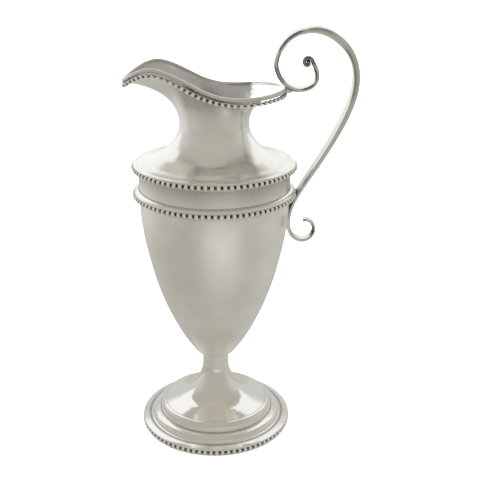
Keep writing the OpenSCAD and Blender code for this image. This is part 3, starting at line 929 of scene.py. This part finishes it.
# What the silver mirrors far in front and at the sides, and behind; and the table's darkest and lightest.
FRONT_WALL, BACK_WALL = (0.47, 0.452, 0.402), (0.64, 0.64, 0.62)
TABLE_DARK, TABLE_LIGHT = (0.40, 0.382, 0.335), (0.75, 0.75, 0.735)
POOL_AT = (0.06, -0.34, 0)   # middle of the pool of light on the table, in front
SECOND_LOOK = 1.18           # how much brighter table and walls are in a reflection of a reflection


def by_depth(n):
    """Strength of mirrored light: 1 in the first reflection, and more in a reflection seen in another."""
    path = n.add("ShaderNodeLightPath")
    return n.smooth(path.outputs["Glossy Depth"], 1.0, 2.0, 1.0, SECOND_LOOK)


def table_material():
    """The table as the silver mirrors it, a glowing sheet with painted light: lighter behind, far left and
    front right, with a pool of light.
    """
    n = Finish("mirrored_table")
    x, y, _ = n.split()
    from_pool = n.add("ShaderNodeVectorMath", operation="DISTANCE")
    n.link(n.place, from_pool.inputs[0])
    from_pool.inputs[1].default_value = POOL_AT
    behind = n.smooth(y, -0.15, 0.35, 0.43, 0.61)
    right = n.product(n.smooth(x, -0.30, 0.12, 0.0, 0.09), n.smooth(y, 0.0, 0.25, 1.0, -0.5))
    far_left = n.smooth(x, -0.65, -0.25, 0.12, 0.0)
    pool = n.smooth(from_pool.outputs["Value"], 0.03, 0.26, 0.27, 0.0)
    light = n.sum(behind, right, far_left, pool)
    near = n.ramp(light, 0.40, 0.75, TABLE_DARK, TABLE_LIGHT)
    far_front = n.smooth(y, -1.1, -0.35, 1.0, 0.0)
    glow = n.add("ShaderNodeEmission")
    n.link(n.mix(far_front, near, FRONT_WALL), glow.inputs["Color"])
    n.link(by_depth(n), glow.inputs["Strength"])
    n.surface(glow.outputs["Emission"])
    return n.owner


SOFT_EDGE = 0.03             # metres over which a softbox fades out, but for its lower edge


def softbox_face(low, high, low_edge, middle, rise, radiance):
    """White light that fades out over the softbox's edges; its corners are (x, z).

    The upper edge is level as far as middle to either side of x = 0, and climbs by rise per metre beyond.
    """
    n = Finish("softbox_face")
    edge = SOFT_EDGE
    x, _, z = n.split()
    beside = n.add("ShaderNodeMath", operation="ABSOLUTE")
    n.link(x, beside.inputs[0])
    lift = n.add("ShaderNodeMapRange")
    for socket, number in zip(("From Min", "From Max", "To Min", "To Max"), (middle, middle + 1, 0, -rise)):
        lift.inputs[socket].default_value = number
    n.link(beside.outputs["Value"], lift.inputs["Value"])
    lowered = n.sum(z, lift.outputs["Result"])
    share = n.product(n.smooth(x, low[0] - edge, low[0], 0.0, 1.0),
                      n.smooth(x, high[0], high[0] + edge, 1.0, 0.0),
                      n.smooth(z, low[1] - low_edge, low[1], 0.0, 1.0),
                      n.smooth(lowered, high[1], high[1] + edge, 1.0, 0.0))
    glow = n.add("ShaderNodeEmission")
    glow.inputs["Strength"].default_value = radiance
    through = n.add("ShaderNodeBsdfTransparent")
    both = n.add("ShaderNodeMixShader")
    n.link(share, both.inputs["Fac"])
    n.link(through.outputs["BSDF"], both.inputs[1])
    n.link(glow.outputs["Emission"], both.inputs[2])
    n.surface(both.outputs["Shader"])
    return n.owner


BODY_SILVER = silver("hand_polished_silver", CLEAN, WARM, rough=(0.13, 0.25), hammer=0.3)
SATIN_SILVER = silver("satin_worn_silver", (0.98, 0.97, 0.94), (0.79, 0.775, 0.72),
                      rough=(0.24, 0.38), hammer=0.26)
SHOULDER_SILVER = silver("shoulder_silver", CLEAN, WARM, rough=(0.16, 0.28), hammer=0.45)
FOOT_SILVER = silver("mirror_polished_silver", CLEAN, WARM, rough=(0.05, 0.14), hammer=0.6)
BEAD_SILVER = silver("beaded_wire_silver", (0.99, 0.985, 0.97), (0.95, 0.935, 0.9),
                     rough=(0.1, 0.2), hammer=0.03)
CAST_SILVER = silver("forged_strap_silver", (0.83, 0.82, 0.79), (0.77, 0.755, 0.71),
                     rough=(0.14, 0.26), hammer=0.08, tarnish_shade_colour=BLACK_BROWN)
MOUTH_SILVER = mouth_silver()
HOLLOW_SHADE = hollow_shade()


# ---------- studio ----------

def sheet(name, corners, material):
    """A flat stage sheet."""
    mesh = bpy.data.meshes.new(name)
    mesh.from_pydata(corners, [], [(0, 1, 2, 3)])
    mesh.materials.append(material)
    obj = bpy.data.objects.new(name, mesh)
    bpy.context.scene.collection.objects.link(obj)
    return obj


def only_mirrored(obj):
    """Leaves the object to be seen in the silver and nowhere else."""
    obj.visible_camera = obj.visible_diffuse = obj.visible_shadow = False


STAGE_HALF = 30              # metres from the middle of the floor to its edges
TABLE_Z = -0.5 * MM


def studio_floor():
    """White paper to stand on, and under it the darker table that the silver mirrors instead."""
    half = STAGE_HALF
    square = [(-half, -half), (half, -half), (half, half), (-half, half)]
    paper = sheet("studio_floor", [(x, y, 0) for x, y in square], floor_material())
    paper.visible_glossy = False
    only_mirrored(sheet("mirrored_table", [(x, y, TABLE_Z) for x, y in square], table_material()))


PAPER_LIGHT = 2.2            # white light on the paper, so that it stays white close to the foot


def studio_sky():
    """White light all round for the paper; warm grey walls, lighter behind, for the silver to mirror."""
    world = bpy.data.worlds.new("studio_sky")
    bpy.context.scene.world = world
    n = Nodes(world, "Generated")
    _, y, z = n.split()
    behind = n.product(n.smooth(y, -0.75, 0.55, 0.0, 1.0), n.smooth(z, 0.35, 0.75, 1.0, 0.0))
    walls = n.mix(behind, FRONT_WALL, BACK_WALL)
    path = n.add("ShaderNodeLightPath")
    seen = n.mix(path.outputs["Is Glossy Ray"], (PAPER_LIGHT,) * 3, walls)
    n.link(seen, n.tree.nodes["Background"].inputs["Color"])
    n.link(by_depth(n), n.tree.nodes["Background"].inputs["Strength"])


def softbox(name, low, high, y, radiance, low_edge, middle=0.23, rise=2.5):
    """A softbox behind the pitcher, from corner to corner (x, z), as the silver mirrors it.

    Its lower edge fades out over low_edge. See softbox_face for middle and rise.
    """
    left, right = low[0] - SOFT_EDGE, high[0] + SOFT_EDGE
    bottom, top = low[1] - low_edge, high[1] + SOFT_EDGE + rise * max(-left, right)
    corners = [(left, y, bottom), (right, y, bottom), (right, y, top), (left, y, top)]
    face = softbox_face(low, high, low_edge, middle, rise, radiance)
    only_mirrored(sheet(name, corners, face))


CAMERA_AT = (19.5, -646.4, 402.1)    # mm
CAMERA_DOWN, CAMERA_ROLL = math.radians(20.73), 0.0044      # radians
SENSOR, LENS = 36, 66.5              # mm


def camera():
    """The camera: a little right of the axis, above the rim, looking down."""
    data = bpy.data.cameras.new("camera")
    data.sensor_width = SENSOR
    data.lens = LENS
    cam = bpy.data.objects.new("camera", data)
    right = Vector((1, 0, 0))
    look = Vector((0, math.cos(CAMERA_DOWN), -math.sin(CAMERA_DOWN)))
    up = right.cross(look)
    side = math.cos(CAMERA_ROLL) * right + math.sin(CAMERA_ROLL) * up
    top = -math.sin(CAMERA_ROLL) * right + math.cos(CAMERA_ROLL) * up
    turned = Matrix((side, top, -look)).transposed().to_4x4()
    cam.matrix_world = Matrix.Translation(Vector(CAMERA_AT) * MM) @ turned
    bpy.context.scene.collection.objects.link(cam)
    bpy.context.scene.camera = cam


# ---------- the pitcher ----------

SEAT_Z = 0.15                # metres up; the strap touches nothing below this


def bowl_side():
    """Outside of the bowl as rising (r, z), for the strap's seat."""
    widest = {}
    for r, z in faired(*rings_of("bowl")):
        if z <= SEAT_Z:
            continue
        key = round(z, 3)
        widest[key] = max(widest.get(key, 0), r)
    return np.array([(widest[z], z) for z in sorted(widest)])


BOWL_SIDE = bowl_side()
NECK_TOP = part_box("shoulder")[1].z

spun("foot_base_ring", "foot_ring", FOOT_SILVER)
spun("foot_stepped_plate", "foot_plate", FOOT_SILVER)
spun("pedestal_stem", "pedestal", FOOT_SILVER)
spun("bowl_shell", "bowl", SATIN_SILVER)
spun("lower_girdle_ring", "lower_girdle", BODY_SILVER)
spun("plain_band_shell", "plain_band", SATIN_SILVER)
spun("upper_girdle_ring", "upper_girdle", BODY_SILVER)
spun("shoulder_shell", "shoulder", SHOULDER_SILVER, upright_z=NECK_TOP)
round_beading("foot_beads", "foot_beading", count=82)
round_beading("lower_beads", "lower_beading", count=86)
round_beading("upper_beads", "upper_beading", count=84)
rim = rim_line()
lip_piece(rim)
rim_band_piece(rim)
rim_beading_piece(rim)
handle_piece()
lug_piece()

camera()
studio_floor()
studio_sky()
softbox("softbox_left", (-0.60, 0.27), (0.10, 0.46), y=0.30, radiance=1.02, low_edge=0.10)
softbox("softbox_right", (0.13, 0.32), (0.46, 0.46), y=0.301, radiance=1.0, low_edge=0.16,
        middle=0.18, rise=3.5)

bpy.context.scene.view_settings.view_transform = "Standard"
